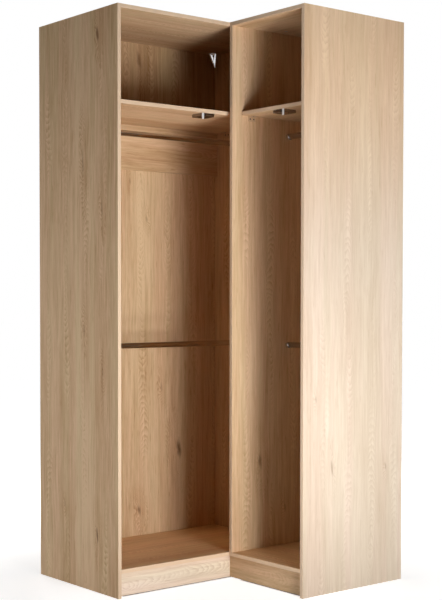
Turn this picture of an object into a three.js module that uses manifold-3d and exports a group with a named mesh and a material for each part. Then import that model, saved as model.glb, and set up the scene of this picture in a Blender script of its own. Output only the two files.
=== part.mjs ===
// Corner wardrobe: two open oak-finished units that meet at a right angle.
// Millimetres, +Z up. The origin is on the floor at the middle of the whole footprint.
// The left unit's opening faces +X and runs on behind the right unit, whose opening faces -Y.
// Each unit is drawn in its own frame: x across its width, y from its front to the wall, z up.

import * as THREE from "three";
import { mergeVertices } from "three/addons/utils/BufferGeometryUtils.js";
import Module from "manifold-3d";

// Carcass
const carcassHeight = 2360;
const carcassDepth = 580;
const leftFrontWidth = 580; // from the left outer side to the inner corner
const leftBlindWidth = 384; // the part of the left unit that lies behind the right unit
const rightWidth = 450;
const boardThickness = 16;
const edgeRadius = 1; // rounding of the banded edges
const hairline = 0.3; // between pieces that lie against each other
const overrun = 5; // how far a cutter reaches past the face that it enters

// Backs, held in grooves all round
const backThickness = 8;
const backInset = 34; // from the rear edges to the back's rear face
const grooveDepth = 8;
const stripFlange = 19; // visible width of the strip that joins the left unit's two backs
const stripWall = 1.5;
const stripFromSide = 387; // from the left side panel to the strip's near edge

// Plinths
const plinthHeight = 100;
const plinthSetback = 25;
const plinthFootGap = 3;
const rearPlinthInset = 60;

// Shelves
const upperCompartmentHeight = 355; // clear height between the shelf and the top
const leftShelfSetback = 21;
const rightShelfSetback = 52;
const shelfRearGap = 1;
const stretcherHeight = 200;

// Hanging rails and their open-topped sockets
const railDiameter = 25;
const railWall = 1.5;
const railSetback = 323; // from the unit's front to the rail's middle
const upperRailDrop = 70; // from the shelf's underside to the rail's middle
const lowerRailHeight = 994;
const railEndGap = 1;
const socketBase = 2.5;
const socketReach = 13;
const socketWall = 3;
const socketArm = 8; // how far the arms rise above the rail's middle
const socketScrewHole = 4;
const socketScrewPitch = 12;

// Angle brackets under the shelves
const bracketLength = 40;
const bracketLeg = 22;
const bracketSheet = 2;
const bracketHole = 4;
const bracketHolePitch = 20;
const frontBracketSetback = 109; // from the unit's front to the bracket's middle
const rearBracketInset = 90; // from the back to the bracket's middle

// Door catches under the shelves: a screwed plate with a folded tongue, and a case below it
const catchSize = 71;
const catchPlate = 2;
const catchCorner = 5;
const catchHole = 4;
const catchHoleInset = 13;
const tongueWidth = 10;
const tongueHeight = 26; // from the shelf down
const tongueSheet = 3;
const caseHeight = 11;
const caseEdge = 1.5; // rounding of the case's upper and lower edges
const windowWidth = 10;
const windowHeight = 6;
const windowDepth = 4;
const leftCatchFromCorner = 62; // from the inner corner to the plate
const rightCatchFromCorner = 206;

// Corner brackets under the tops: a flange and a three-cornered tab that hangs from its fold
const tabWidth = 34;
const tabDrop = 66;
const tabSheet = 1.5;
const tabHole = 6;
const tabCorner = 2;
const tabLean = THREE.MathUtils.degToRad(11.5);
const flangeDepth = 18;
const flangeHole = 4;
const cornerBracketInset = 55; // from the side panel to the fold's rear end
const cornerBracketStandOff = 19; // from the back to the fold's rear end

// Cam fittings that draw the tops to the side panels
const camDiameter = 15;
const camDepth = 12;
const camFromSide = 49;
const frontCamSetback = 262;
const rearCamInset = 80; // from the rear edges to the cam's middle
const camSlot = 2;
const camSlotDepth = 3;

// Facets
const edgeSegments = 3;
const roundSegments = 32;
const smallSegments = 12;

// Places that follow from the sizes
const leftWidth = leftFrontWidth + leftBlindWidth;
const backFace = carcassDepth - backInset - backThickness;
const floorTop = plinthHeight + boardThickness;
const topUnderside = carcassHeight - boardThickness;
const shelfTop = topUnderside - upperCompartmentHeight;
const shelfUnderside = shelfTop - boardThickness;
const innerFace = boardThickness; // a side panel's inner face, from the unit's edge
const upperRailHeight = shelfUnderside - upperRailDrop;
const stripRelief = stripWall + hairline; // what the strip stands proud of the backs
const stripMiddle = innerFace + stripFromSide + stripFlange / 2;
const backJointHeight = shelfUnderside - stretcherHeight / 2; // hidden by the stretcher
const quarterTurn = Math.PI / 2;

const wasm = await Module();
wasm.setup();

// Finishes

function oak() {
  return new THREE.MeshStandardMaterial({ color: 0xdcb88e, roughness: 0.55, metalness: 0 });
}

function oakBack() {
  return new THREE.MeshStandardMaterial({ color: 0xcda67a, roughness: 0.6, metalness: 0 });
}

function chrome() {
  return new THREE.MeshStandardMaterial({ color: 0xd8d8da, roughness: 0.12, metalness: 1 });
}

function zincSteel() {
  return new THREE.MeshStandardMaterial({ color: 0xb9bbbd, roughness: 0.35, metalness: 1 });
}

function beigePaint() {
  return new THREE.MeshStandardMaterial({ color: 0xc9a884, roughness: 0.5, metalness: 0 });
}

// Joining and cutting

function solidOf(geometry) {
  const bare = geometry.clone();
  bare.deleteAttribute("normal");
  bare.deleteAttribute("uv");
  const merged = mergeVertices(bare);
  const mesh = new wasm.Mesh({
    numProp: 3,
    vertProperties: merged.attributes.position.array,
    triVerts: new Uint32Array(merged.index.array),
  });
  return new wasm.Manifold(mesh);
}

function geometryOf(solid) {
  const { vertProperties, triVerts, numProp } = solid.getMesh();
  const geometry = new THREE.BufferGeometry();
  geometry.setAttribute("position", new THREE.BufferAttribute(vertProperties, numProp));
  geometry.setIndex(new THREE.BufferAttribute(triVerts, 1));
  const faceted = geometry.toNonIndexed();
  faceted.computeVertexNormals();
  return faceted;
}

function cut(body, ...cutters) {
  return geometryOf(cutters.reduce((rest, cutter) => rest.subtract(solidOf(cutter)), solidOf(body)));
}

function join(...bodies) {
  return geometryOf(bodies.map(solidOf).reduce((whole, body) => whole.add(body)));
}

// Basic forms

// A box between its lowest and its highest corner.
function block(low, high) {
  const size = high.map((value, axis) => value - low[axis]);
  const middle = low.map((value, axis) => value + size[axis] / 2);
  return new THREE.BoxGeometry(...size).translate(...middle);
}

// A round bar along z, from z = 0 up.
function bar(diameter, length, segments) {
  const radius = diameter / 2;
  const upright = new THREE.CylinderGeometry(radius, radius, length, segments);
  return upright.rotateX(quarterTurn).translate(0, 0, length / 2);
}

// Extrudes an outline along z, with no bevel.
function extrude(outline, length) {
  return new THREE.ExtrudeGeometry(outline, {
    depth: length,
    bevelEnabled: false,
    curveSegments: edgeSegments,
  });
}

// Turns a form so that its x runs along y, its y up and its z across.
function layAcross(geometry) {
  return geometry.rotateX(quarterTurn).rotateZ(quarterTurn);
}

// A board seen from its end: its thickness along x, its banded edge at y = 0.
function boardOutline(depth) {
  const outline = new THREE.Shape();
  outline.moveTo(0, depth);
  outline.lineTo(0, edgeRadius);
  outline.absarc(edgeRadius, edgeRadius, edgeRadius, Math.PI, 1.5 * Math.PI, false);
  outline.absarc(boardThickness - edgeRadius, edgeRadius, edgeRadius, 1.5 * Math.PI, 2 * Math.PI, false);
  outline.lineTo(boardThickness, depth);
  return outline;
}

// A side panel, with its banded edge to the front.
function uprightBoard(height, depth) {
  return extrude(boardOutline(depth), height);
}

// A top, floor or shelf, with its upper face at z = 0 and its banded edge to the front.
function levelBoard(length, depth) {
  return extrude(boardOutline(depth), length).rotateY(quarterTurn);
}

// A plinth or stretcher on its banded edge, with its front face at y = 0.
function standingBoard(length, height) {
  return layAcross(extrude(boardOutline(height), length));
}

function place(name, geometry, material, x, y, z) {
  const mesh = new THREE.Mesh(geometry, material);
  mesh.name = name;
  mesh.position.set(x, y, z);
  return mesh;
}

// Fixes a form, drawn out from x = 0, to the inner face of the near or the far side panel.
function fixToSide(mesh, unit, side) {
  const far = side === "far";
  mesh.position.x = far ? unit.width - innerFace - hairline : innerFace + hairline;
  mesh.rotation.z = far ? Math.PI : 0;
  return mesh;
}

// Panels

// What is cut out of a board for the back: low and high are the groove's reach in x and z.
function backGroove(lowX, highX, lowZ, highZ) {
  const front = backFace - hairline;
  const rear = backFace + backThickness + hairline;
  return block([lowX, front, lowZ], [highX, rear, highZ]);
}

function sidePanel(unit, side) {
  const far = side === "far";
  const lowX = far ? -overrun : boardThickness - grooveDepth;
  const highX = far ? grooveDepth : boardThickness + overrun;
  const groove = backGroove(lowX, highX, -overrun, carcassHeight + overrun);
  const cutters = unit.toeNotch === side ? [groove, toeNotch()] : [groove];
  const panel = cut(uprightBoard(carcassHeight, carcassDepth), ...cutters);
  return place(unit[side], panel, oak(), far ? unit.width - boardThickness : 0, 0, 0);
}

// The notch in the partition's foot that the right plinth passes through.
function toeNotch() {
  const rear = plinthSetback + boardThickness + hairline;
  return block([-overrun, -overrun, -overrun], [boardThickness + overrun, rear, plinthHeight]);
}

function innerWidth(unit) {
  return unit.width - 2 * innerFace - 2 * hairline;
}

function topPanel(unit) {
  const length = innerWidth(unit);
  const groove = backGroove(-overrun, length + overrun, -boardThickness - overrun, grooveDepth - boardThickness);
  const bores = camPlaces(unit).map(({ x, y }) => camBore(x - innerFace - hairline, y));
  const panel = cut(levelBoard(length, carcassDepth), groove, ...bores);
  return place(`${unit.name}_top_panel`, panel, oak(), innerFace + hairline, 0, carcassHeight);
}

// The widening of the floor panel's groove that takes the foot of the joint strip.
function stripNotch() {
  const middle = stripMiddle - innerFace - hairline;
  const reach = stripFlange / 2 + hairline;
  const proud = stripRelief + hairline;
  const rear = backFace + backThickness + proud;
  return block([middle - reach, backFace - proud, -grooveDepth], [middle + reach, rear, overrun]);
}

function floorPanel(unit) {
  const length = innerWidth(unit);
  const groove = backGroove(-overrun, length + overrun, -grooveDepth, overrun);
  const cutters = unit.jointStrip ? [groove, stripNotch()] : [groove];
  const panel = cut(levelBoard(length, carcassDepth), ...cutters);
  return place(`${unit.name}_floor_panel`, panel, oak(), innerFace + hairline, 0, floorTop);
}

function shelf(unit) {
  const depth = backFace - stripRelief - shelfRearGap - unit.shelfSetback;
  const board = levelBoard(innerWidth(unit), depth);
  return place(`${unit.name}_shelf`, board, oak(), innerFace + hairline, unit.shelfSetback, shelfTop);
}

function stretcher(unit) {
  const board = standingBoard(innerWidth(unit), stretcherHeight);
  const front = backFace - stripRelief - boardThickness;
  const foot = shelfUnderside - hairline - stretcherHeight;
  return place(`${unit.name}_back_stretcher`, board, oak(), innerFace + hairline, front, foot);
}

function plinth(unit) {
  const [start, end] = unit.plinthReach;
  const board = standingBoard(end - start, plinthHeight - hairline - plinthFootGap);
  return place(`${unit.name}_plinth`, board, oak(), start, plinthSetback, plinthFootGap);
}

function rearPlinth(unit) {
  const board = standingBoard(innerWidth(unit), plinthHeight - hairline - plinthFootGap);
  const front = carcassDepth - rearPlinthInset - boardThickness;
  return place(`${unit.name}_rear_plinth`, board, oak(), innerFace + hairline, front, plinthFootGap);
}

// Backs

function backBoard(name, lowX, highX, lowZ, highZ) {
  const board = block([lowX, backFace, lowZ], [highX, backFace + backThickness, highZ]);
  return place(name, board, oakBack(), 0, 0, 0);
}

// The back of a unit. A wide one has two boards joined by a strip, and a third above them.
function backs(unit) {
  const name = `${unit.name}_back_panel`;
  const reach = grooveDepth - hairline;
  const near = innerFace - reach;
  const far = unit.width - near;
  const foot = floorTop - reach;
  const head = topUnderside + reach;
  if (!unit.jointStrip) return [backBoard(name, near, far, foot, head)];
  const clear = stripWall / 2 + hairline;
  const joint = backJointHeight - hairline;
  return [
    backBoard(`${name}_near`, near, stripMiddle - clear, foot, joint),
    backBoard(`${name}_far`, stripMiddle + clear, far, foot, joint),
    backBoard(`${name}_upper`, near, far, backJointHeight, head),
    backStrip(unit, foot, joint),
  ];
}

// The strip's H section, which takes the edge of a back board in each of its channels.
function backStrip(unit, foot, head) {
  const halfFlange = stripFlange / 2;
  const halfWeb = stripWall / 2;
  const channel = backThickness / 2 + hairline;
  const outer = channel + stripWall;
  const points = [
    [halfFlange, outer],
    [-halfFlange, outer],
    [-halfFlange, channel],
    [-halfWeb, channel],
    [-halfWeb, -channel],
    [-halfFlange, -channel],
    [-halfFlange, -outer],
    [halfFlange, -outer],
    [halfFlange, -channel],
    [halfWeb, -channel],
    [halfWeb, channel],
    [halfFlange, channel],
  ];
  const section = new THREE.Shape(points.map(([x, y]) => new THREE.Vector2(x, y)));
  const strip = extrude(section, head - foot);
  return place(`${unit.name}_back_strip`, strip, oakBack(), stripMiddle, backFace + backThickness / 2, foot);
}

// Hanging rails

function rail(unit, level, height) {
  const radius = railDiameter / 2;
  const ring = new THREE.Shape().absarc(0, 0, radius, 0, 2 * Math.PI, false);
  ring.holes.push(new THREE.Path().absarc(0, 0, radius - railWall, 0, 2 * Math.PI, true));
  const margin = innerFace + hairline + socketBase + railEndGap;
  const tube = new THREE.ExtrudeGeometry(ring, {
    depth: unit.width - 2 * margin,
    bevelEnabled: false,
    curveSegments: roundSegments / 2,
  });
  return place(`${unit.name}_${level}_rail`, tube.rotateY(quarterTurn), chrome(), margin, railSetback, height);
}

// A cradle open at the top, drawn round the rail's middle, as deep as reach says.
function cradle(halfWidth, top, reach) {
  const outline = new THREE.Shape();
  outline.moveTo(halfWidth, top);
  outline.lineTo(-halfWidth, top);
  outline.absarc(0, 0, halfWidth, Math.PI, 2 * Math.PI, false);
  return new THREE.ExtrudeGeometry(outline, {
    depth: reach,
    bevelEnabled: false,
    curveSegments: smallSegments,
  });
}

// A socket screwed to a side panel. The rail drops into it from above.
function railSocket() {
  const seat = railDiameter / 2 + hairline;
  const cup = cradle(seat + socketWall, socketArm, socketReach);
  const hollow = cradle(seat, socketArm + overrun, socketReach).translate(0, 0, socketBase);
  const holes = [-1, 1].map((way) => {
    const hole = bar(socketScrewHole, socketBase + 2 * overrun, smallSegments);
    return hole.translate(0, (way * socketScrewPitch) / 2 - socketWall, -overrun);
  });
  return layAcross(cut(cup, hollow, ...holes));
}

function rails(unit) {
  const levels = { upper: upperRailHeight, lower: lowerRailHeight };
  return Object.entries(levels).flatMap(([level, height]) => {
    const sockets = ["near", "far"].map((side) => {
      const name = `${unit.name}_${level}_socket_${side}`;
      return fixToSide(place(name, railSocket(), chrome(), 0, railSetback, height), unit, side);
    });
    return [rail(unit, level, height), ...sockets];
  });
}

// Shelf brackets

// An angle of sheet steel with two holes to the side panel and one to the shelf.
function angleBracket() {
  const outline = new THREE.Shape();
  outline.moveTo(0, 0);
  outline.lineTo(0, -bracketLeg + edgeRadius);
  outline.lineTo(edgeRadius, -bracketLeg);
  outline.lineTo(bracketSheet, -bracketLeg);
  outline.lineTo(bracketSheet, -2 * bracketSheet);
  outline.absarc(2 * bracketSheet, -2 * bracketSheet, bracketSheet, Math.PI, quarterTurn, true);
  outline.lineTo(bracketLeg, -bracketSheet);
  outline.lineTo(bracketLeg, -edgeRadius);
  outline.lineTo(bracketLeg - edgeRadius, 0);
  const angle = extrude(outline, bracketLength).rotateX(quarterTurn).translate(0, bracketLength / 2, 0);
  const sideHoles = [-1, 1].map((way) => {
    const hole = bar(bracketHole, bracketSheet + 2 * overrun, smallSegments).rotateY(quarterTurn);
    return hole.translate(-overrun, (way * bracketHolePitch) / 2, -bracketLeg / 2 - bracketSheet / 2);
  });
  const shelfHole = bar(bracketHole, bracketSheet + 2 * overrun, smallSegments);
  return cut(angle, ...sideHoles, shelfHole.translate((bracketLeg + bracketSheet) / 2, 0, -bracketSheet - overrun));
}

function shelfBrackets(unit) {
  const depths = { front: frontBracketSetback, rear: backFace - rearBracketInset };
  return Object.entries(depths).flatMap(([end, y]) =>
    ["near", "far"].map((side) => {
      const name = `${unit.name}_shelf_bracket_${side}_${end}`;
      const mesh = place(name, angleBracket(), beigePaint(), 0, y, shelfUnderside - hairline);
      return fixToSide(mesh, unit, side);
    }),
  );
}

// Door catches

function roundedPlate(width, depth, radius) {
  const outline = new THREE.Shape();
  outline.absarc(radius, radius, radius, Math.PI, 1.5 * Math.PI, false);
  outline.absarc(width - radius, radius, radius, 1.5 * Math.PI, 2 * Math.PI, false);
  outline.absarc(width - radius, depth - radius, radius, 0, quarterTurn, false);
  outline.absarc(radius, depth - radius, radius, quarterTurn, Math.PI, false);
  return outline;
}

// Where a form of the given width starts, at the catch's end that carries the tongue.
function tongueEnd(unit, width) {
  return unit.tongueLast ? catchSize - width : 0;
}

// The plate, drawn down from the shelf, with its tongue folded down at one end of its front edge.
function catchPlatePiece(unit) {
  const far = catchSize - catchHoleInset;
  const holes = [catchHoleInset, far].flatMap((x) =>
    [catchHoleInset, far].map((y) => {
      const hole = bar(catchHole, catchPlate + 2 * overrun, smallSegments);
      return hole.translate(x, y, -catchPlate - overrun);
    }),
  );
  const sheet = extrude(roundedPlate(catchSize, catchSize, catchCorner), catchPlate).translate(0, 0, -catchPlate);
  const start = tongueEnd(unit, tongueWidth);
  const tongue = block([start, 0, -tongueHeight], [start + tongueWidth, tongueSheet, 0]);
  const plate = join(cut(sheet, ...holes), tongue);
  const z = shelfUnderside - hairline;
  return place(`${unit.name}_catch_plate`, plate, chrome(), unit.catchStart, unit.shelfSetback, z);
}

// The case under the plate and behind the tongue, with a sunk window beside the tongue.
function catchHousing(unit) {
  const front = tongueSheet + hairline;
  const body = new THREE.ExtrudeGeometry(roundedPlate(catchSize, catchSize - front, catchCorner), {
    depth: caseHeight - 2 * caseEdge,
    bevelThickness: caseEdge,
    bevelSize: caseEdge,
    bevelOffset: -caseEdge,
    bevelSegments: edgeSegments,
    curveSegments: edgeSegments,
  });
  const step = tongueWidth + caseEdge;
  const start = unit.tongueLast ? catchSize - step - windowWidth : step;
  const low = (caseHeight - windowHeight) / 2 - caseEdge;
  const window = block([start, -overrun, low], [start + windowWidth, windowDepth, low + windowHeight]);
  const z = shelfUnderside - 2 * hairline - catchPlate - caseHeight + caseEdge;
  const y = unit.shelfSetback + front;
  return place(`${unit.name}_catch_housing`, cut(body, window), chrome(), unit.catchStart, y, z);
}

// Corner brackets

// The fold runs along x from the origin. The tab hangs from it and leans to the rear, under the flange.
function cornerBracketForm() {
  const outline = new THREE.Shape();
  outline.moveTo(0, 0);
  outline.lineTo(tabWidth - tabHole - tabCorner, -tabDrop);
  outline.lineTo(tabWidth - tabHole + tabCorner, -tabDrop);
  outline.lineTo(tabWidth, 0);
  outline.holes.push(new THREE.Path().absarc(tabWidth - 2 * tabHole, -2 * tabHole, tabHole / 2, 0, 2 * Math.PI, true));
  const tab = extrude(outline, tabSheet).rotateX(quarterTurn).rotateX(tabLean);
  const flange = block([0, -tabSheet, -tabSheet], [tabWidth, flangeDepth, 0]);
  const hole = bar(flangeHole, tabSheet + 2 * overrun, smallSegments);
  return cut(join(tab, flange), hole.translate(tabWidth / 2, flangeDepth / 2, -tabSheet - overrun));
}

function cornerBrackets(unit) {
  const rear = backFace - cornerBracketStandOff;
  const z = topUnderside - hairline;
  const nearX = innerFace + cornerBracketInset;
  const farX = unit.width - nearX;
  const near = place(`${unit.name}_corner_bracket_near`, cornerBracketForm(), chrome(), nearX, rear, z);
  near.scale.x = -1;
  near.rotation.z = quarterTurn / 2;
  const far = place(`${unit.name}_corner_bracket_far`, cornerBracketForm(), chrome(), farX, rear, z);
  far.rotation.z = -quarterTurn / 2;
  return [near, far];
}

// Cam fittings

function camPlaces(unit) {
  const depths = { front: frontCamSetback, rear: carcassDepth - rearCamInset };
  const sides = { near: innerFace + camFromSide, far: unit.width - innerFace - camFromSide };
  return Object.entries(depths).flatMap(([end, y]) =>
    Object.entries(sides).map(([side, x]) => ({ name: `${unit.name}_cam_${side}_${end}`, x, y })),
  );
}

// The bore in the top panel, measured from that panel's own upper front corner.
function camBore(x, y) {
  const bore = bar(camDiameter + 2 * hairline, camDepth + hairline + overrun, roundSegments);
  return bore.translate(x, y, -boardThickness - overrun);
}

// A drum with a crossed recess for the screwdriver in its lower face.
function cam() {
  const half = camDiameter / 2;
  const arm = half - camSlot;
  const slots = [
    block([-arm, -camSlot / 2, -overrun], [arm, camSlot / 2, camSlotDepth]),
    block([-camSlot / 2, -arm, -overrun], [camSlot / 2, arm, camSlotDepth]),
  ];
  return cut(bar(camDiameter, camDepth, roundSegments), ...slots);
}

function cams(unit) {
  return camPlaces(unit).map(({ name, x, y }) => place(name, cam(), zincSteel(), x, y, topUnderside));
}

// Units

function buildUnit(unit) {
  const group = new THREE.Group();
  group.add(sidePanel(unit, "near"), sidePanel(unit, "far"), topPanel(unit), floorPanel(unit));
  group.add(shelf(unit), stretcher(unit), plinth(unit), rearPlinth(unit));
  group.add(...backs(unit), ...rails(unit), ...shelfBrackets(unit));
  group.add(catchPlatePiece(unit), catchHousing(unit));
  group.add(...cornerBrackets(unit), ...cams(unit));
  return group;
}

const leftUnit = buildUnit({
  name: "left",
  width: leftWidth,
  near: "left_side_panel",
  far: "corner_end_panel",
  jointStrip: true,
  plinthReach: [innerFace + hairline, leftFrontWidth + plinthSetback + boardThickness],
  shelfSetback: leftShelfSetback,
  catchStart: leftFrontWidth - leftCatchFromCorner - catchSize,
  tongueLast: false,
});

const rightUnit = buildUnit({
  name: "right",
  width: rightWidth,
  near: "corner_partition",
  far: "right_side_panel",
  toeNotch: "near",
  jointStrip: false,
  plinthReach: [-plinthSetback, rightWidth - innerFace - hairline],
  shelfSetback: rightShelfSetback,
  catchStart: rightCatchFromCorner,
  tongueLast: true,
});

// The inner corner of the two openings is where the units' frames meet.
leftUnit.position.set(0, -leftFrontWidth, 0);
leftUnit.rotation.z = quarterTurn;
rightUnit.position.set(hairline, 0, 0);

const wardrobe = new THREE.Group();
wardrobe.add(leftUnit, rightUnit);
const rearmost = Math.max(carcassDepth, leftBlindWidth);
wardrobe.position.set((carcassDepth - hairline - rightWidth) / 2, (leftFrontWidth - rearmost) / 2, 0);

export default wardrobe;
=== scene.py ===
import math

import bmesh
import bpy
from mathutils import Matrix, Vector


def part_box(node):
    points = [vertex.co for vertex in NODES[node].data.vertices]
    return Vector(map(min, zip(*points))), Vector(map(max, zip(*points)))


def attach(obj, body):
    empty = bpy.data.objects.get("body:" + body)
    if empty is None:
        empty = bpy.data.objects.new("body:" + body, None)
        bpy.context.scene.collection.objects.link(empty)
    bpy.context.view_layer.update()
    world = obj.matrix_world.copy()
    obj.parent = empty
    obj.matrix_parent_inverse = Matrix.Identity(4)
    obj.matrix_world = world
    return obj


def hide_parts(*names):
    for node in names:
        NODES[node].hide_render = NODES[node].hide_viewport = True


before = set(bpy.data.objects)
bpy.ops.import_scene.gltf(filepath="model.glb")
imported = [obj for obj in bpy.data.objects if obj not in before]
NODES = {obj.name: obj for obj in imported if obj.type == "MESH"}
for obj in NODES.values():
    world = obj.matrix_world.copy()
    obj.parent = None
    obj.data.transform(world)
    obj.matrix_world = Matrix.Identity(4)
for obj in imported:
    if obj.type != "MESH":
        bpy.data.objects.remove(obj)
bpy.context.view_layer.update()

MM = 0.001

# Places that the frame gives: the inner corner of the two openings, and the front planes there.
CORNER_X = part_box("left_floor_panel")[1].x
FRONT_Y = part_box("right_floor_panel")[0].y
PLINTH_SETBACK = CORNER_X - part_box("right_plinth")[0].x


# Node trees


def feed(tree, socket, source):
    """Joins a socket to another node's output, or sets its value."""
    if isinstance(source, bpy.types.NodeSocket):
        tree.links.new(source, socket)
    else:
        socket.default_value = source


def put(tree, kind, wires=None, **settings):
    """Adds a node, sets it up, and joins or sets its inputs."""
    made = tree.nodes.new(kind)
    for name, value in settings.items():
        setattr(made, name, value)
    for name, source in (wires or {}).items():
        feed(tree, made.inputs[name], source)
    return made


def figure(tree, operation, *values, clamp=False):
    """A sum on one, two or three values."""
    settings = {"operation": operation, "use_clamp": clamp}
    return put(tree, "ShaderNodeMath", dict(enumerate(values)), **settings).outputs[0]


def vector_figure(tree, operation, *values):
    """A sum on vectors that gives a vector."""
    return put(tree, "ShaderNodeVectorMath", dict(enumerate(values)), operation=operation).outputs["Vector"]


def vector_measure(tree, operation, *values):
    """A sum on vectors that gives a number."""
    return put(tree, "ShaderNodeVectorMath", dict(enumerate(values)), operation=operation).outputs["Value"]


def remap(tree, value, low, high, to_low=0.0, to_high=1.0, smooth=False):
    wires = {"Value": value, "From Min": low, "From Max": high, "To Min": to_low, "To Max": to_high}
    kind = "SMOOTHSTEP" if smooth else "LINEAR"
    return put(tree, "ShaderNodeMapRange", wires, interpolation_type=kind).outputs["Result"]


def noise(tree, place, scale=1.0, detail=2.0, roughness=0.5, gives="Fac"):
    wires = {"Vector": place, "Scale": scale, "Detail": detail, "Roughness": roughness}
    return put(tree, "ShaderNodeTexNoise", wires).outputs[gives]


def centred(tree, value):
    """A value from 0 to 1, as one from -0.5 to 0.5."""
    return figure(tree, "SUBTRACT", value, 0.5)


def stretch(tree, place, factors):
    return vector_figure(tree, "MULTIPLY", place, factors)


def object_point(tree):
    """The shaded point in the object's own frame, in metres."""
    return put(tree, "ShaderNodeTexCoord").outputs["Object"]


def parts_of(tree, place):
    """A place's X, Y and Z."""
    return put(tree, "ShaderNodeSeparateXYZ", {0: place}).outputs


MIX_FIRST, MIX_SECOND, MIX_RESULT = 6, 7, 2     # the colour sockets of a Mix node


def blend(tree, share, first, second, mode="MIX"):
    wires = {"Factor": share, MIX_FIRST: first, MIX_SECOND: second}
    return put(tree, "ShaderNodeMix", wires, data_type="RGBA", blend_type=mode).outputs[MIX_RESULT]


def new_group(name, takes, gives):
    """A node group with named sockets. Returns the tree, its inputs and its output node's sockets."""
    tree = bpy.data.node_groups.new(name, "ShaderNodeTree")
    for label, kind, value in takes:
        socket = tree.interface.new_socket(name=label, in_out="INPUT", socket_type=kind)
        if value is not None:
            socket.default_value = value
    for label, kind in gives:
        tree.interface.new_socket(name=label, in_out="OUTPUT", socket_type=kind)
    start = tree.nodes.new("NodeGroupInput")
    end = tree.nodes.new("NodeGroupOutput")
    return tree, start.outputs, end.inputs


def use_group(tree, group, wires):
    return put(tree, "ShaderNodeGroup", wires, node_tree=group).outputs


def new_material(name):
    """A material with an empty Principled shader, its tree and the shader's inputs."""
    material = bpy.data.materials.new(name)
    material.use_nodes = True
    shader = material.node_tree.nodes["Principled BSDF"]
    return material, material.node_tree, shader.inputs


def linear(red, green, blue):
    """A colour written as 0 to 255, as the shader wants it."""
    def channel(value):
        value = value / 255
        return value / 12.92 if value <= 0.04045 else ((value + 0.055) / 1.055) ** 2.4
    return (channel(red), channel(green), channel(blue), 1.0)


def darker(color, share):
    return (*(channel * share for channel in color[:3]), 1)


FLOAT, VECTOR, COLOR = "NodeSocketFloat", "NodeSocketVector", "NodeSocketColor"


# Oak print. Lengths are in metres. A pitch is how often a noise changes in a metre across the grain,
# out of the face and along the grain.

PALE_OAK, BROWN_OAK = linear(224, 194, 158), linear(178, 138, 96)
# a paler, greyer print for the outer right side, where the key light falls strongly: painted light
PALE_LIT_SIDE, BROWN_LIT_SIDE = linear(221, 205, 187), linear(184, 158, 131)
# browner towards the top of the outer right side: painted shade
PALE_SHADED_SIDE_TOP, BROWN_SHADED_SIDE_TOP = linear(238, 209, 176), linear(198, 158, 120)
# a paler print for the floor panels: painted light from above
PALE_LIT_FLOOR, BROWN_LIT_FLOOR = linear(252, 217, 175), linear(216, 169, 121)
# a slightly paler print for the corner partition: painted light
PALE_LIT_PARTITION, BROWN_LIT_PARTITION = linear(234, 204, 168), linear(190, 150, 108)
# a paler print for the left plinth: painted light bounced up from the floor
PALE_LIT_PLINTH, BROWN_LIT_PLINTH = linear(246, 230, 211), linear(212, 186, 160)
# a darker print for the back panel above the shelf: painted shade
PALE_SHADED_UPPER, BROWN_SHADED_UPPER = linear(208, 178, 140), linear(160, 121, 80)
BAND_OAK = linear(232, 205, 177)
GLUE_BROWN = linear(150, 116, 84)
KNOT_BROWN = (0.17, 0.083, 0.034, 1)
STRAW_TINT, ROSE_TINT = (0.985, 1.0, 0.965, 1), (1.02, 0.982, 0.985, 1)

# A knot. What isn't a pitch is a share of the knot's size.
KNOT_EDGE, KNOT_CORE = 1.2, 0.1     # where the dark heart starts and is darkest
KNOT_RAGGED, KNOT_RAGGED_PITCH = 1.3, (60, 60, 25)
KNOT_SLANT = 0.35
KNOT_PUSH = 2.2                     # how far the grain gives way, in widths of the knot
KNOT_HALO = 0.12                    # how fast that fades away from the knot

PLANK_WIDTH = 0.14
PLANK_WANDER, PLANK_WANDER_PITCH = 0.04, (0.0, 0.0, 1.1)

# Flames are rings round a heart behind the face, which comes nearer and goes again along the plank.
HEART_NEAREST, HEART_SLOPE = 0.045, 0.11
HEART_RUN = 0.6                     # how far along the plank the heart comes nearer
HEART_APART = 2.9                   # sets the planks' hearts apart along the grain
SWAY, SWAY_PITCH = 0.09, 1.7        # how the heart sways from side to side
SWAY_APART = 7.3                    # gives each plank a sway of its own
RIPPLE, RIPPLE_PITCH = 0.010, (22, 22, 9)
RIPPLE_ROUGHNESS = 0.6
JAG, JAG_PITCH = 0.0022, (160, 160, 60)
RING_PITCH = 0.0032
RING_RISE, RING_CREST = 1.5, 0.84   # a ring darkens by this power, up to this share of its width
COLUMN_FULL, COLUMN_EDGE = 0.010, 0.030     # how far the flames reach from a plank's middle
COLUMN_REST = 0.16                  # how much of them is left beyond that
PATCH_PITCH, PATCH_RANGE = (15, 15, 2.2), (0.42, 0.64)
SWIRL_RANGE = (0.0008, 0.004)       # the pushes of a knot at which swirls start and are full

# Streaks, flecks and pores
WAVE, WAVE_PITCH = (0.03, 0.03, 0.0), (4, 4, 2.4)
BROAD_PITCH, BROAD_ROUGHNESS = (9, 9, 0.8), 0.55
MIDDLE_PITCH, MIDDLE_ROUGHNESS = (95, 95, 2.6), 0.6
FINE_PITCH, FINE_ROUGHNESS = (300, 300, 9), 0.65
FLECK_PITCH, FLECK_RANGE = (170, 170, 14), (0.66, 0.76)
PORE_PITCH, PORE_RANGE = (900, 900, 30), (0.60, 0.72)
HUE_PITCH, HUE_RANGE = (16, 16, 0.7), (0.36, 0.64)

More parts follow.
